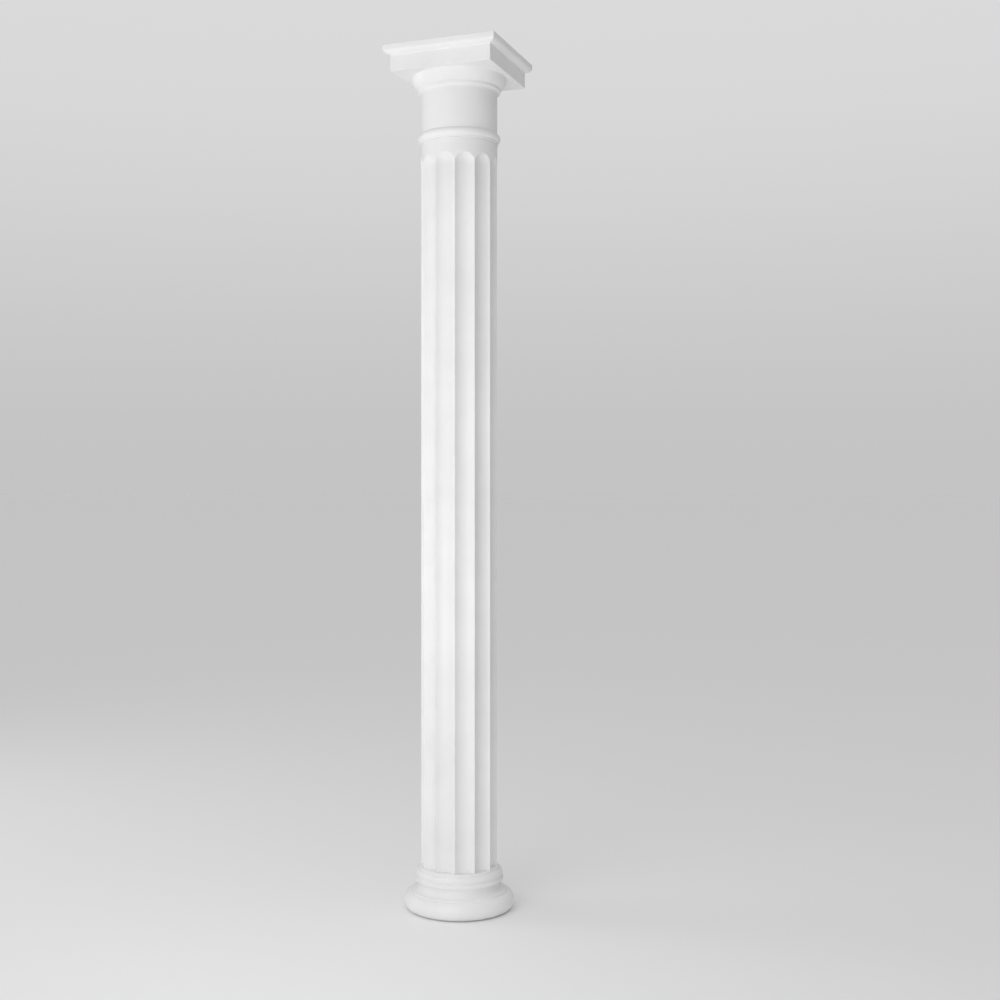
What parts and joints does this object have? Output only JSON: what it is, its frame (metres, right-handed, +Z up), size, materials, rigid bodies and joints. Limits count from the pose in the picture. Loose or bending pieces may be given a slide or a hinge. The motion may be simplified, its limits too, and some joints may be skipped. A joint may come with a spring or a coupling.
{
  "type": "doric column",
  "caption": "Fluted round column with a moulded round base, a plain-necked capital and a square abacus, bored through so that it can sleeve over a post.",
  "frame": {"origin": "middle of the base's underside, on the column's axis", "axes": "+Z up the column, X and Y square to the faces of the abacus, with a flute centred on each of them"},
  "size_m": [0.334, 0.334, 2.4525],
  "materials": {
    "moulded_base": "satin",
    "moulded_shaft": "satin",
    "moulded_capital": "satin"
  },
  "bodies": {
    "root": {"base": "moulded_base", "shaft": "moulded_shaft", "capital": "moulded_capital"}
  },
  "joints": []
}
